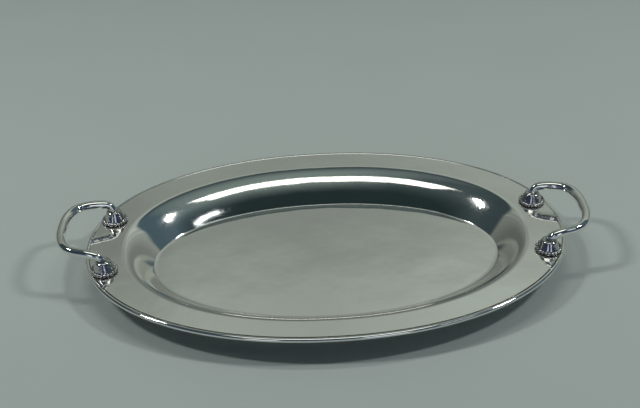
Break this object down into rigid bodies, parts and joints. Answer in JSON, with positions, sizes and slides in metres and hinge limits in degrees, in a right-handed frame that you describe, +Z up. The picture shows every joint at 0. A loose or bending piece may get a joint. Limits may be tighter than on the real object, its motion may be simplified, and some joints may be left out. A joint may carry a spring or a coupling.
{
  "type": "oval handled tray",
  "caption": "Oval polished metal tray with a flat well, wide rim, wire edge and a bent rod handle on domed bosses at each end.",
  "frame": {"origin": "centre of the flat underside that the tray rests on", "axes": "+Z up out of the well, +X towards one handle along the long axis, +Y across the tray to its far side"},
  "size_m": [0.4945, 0.298, 0.0507],
  "materials": {
    "tray_sheet": "silver-plated sheet, hand polished to a near mirror, with fine wiping scratches",
    "edge_wire": "silver-plated wire, polished",
    "handle_rod": "silver-plated rod, polished, slightly worn on the grip",
    "boss_dome": "silver-plated casting, polished, darker in its hollows",
    "boss_ring": "silver-plated beaded casting, tarnished between the beads",
    "stud_brass": "plain turned brass",
    "washer_steel": "plain steel",
    "nut_brass": "plain brass"
  },
  "bodies": {
    "root": {"tray_body": "tray_sheet", "rim_edge_wire": "edge_wire", "handle_left": "handle_rod", "handle_right": "handle_rod", "boss_dome_left_front": "boss_dome", "boss_dome_left_back": "boss_dome", "boss_dome_right_front": "boss_dome", "boss_dome_right_back": "boss_dome", "boss_ring_left_front": "boss_ring", "boss_ring_left_back": "boss_ring", "boss_ring_right_front": "boss_ring", "boss_ring_right_back": "boss_ring", "stud_left_front": "stud_brass", "stud_left_back": "stud_brass", "stud_right_front": "stud_brass", "stud_right_back": "stud_brass", "washer_left_front": "washer_steel", "washer_left_back": "washer_steel", "washer_right_front": "washer_steel", "washer_right_back": "washer_steel", "nut_left_front": "nut_brass", "nut_left_back": "nut_brass", "nut_right_front": "nut_brass", "nut_right_back": "nut_brass"}
  },
  "joints": []
}
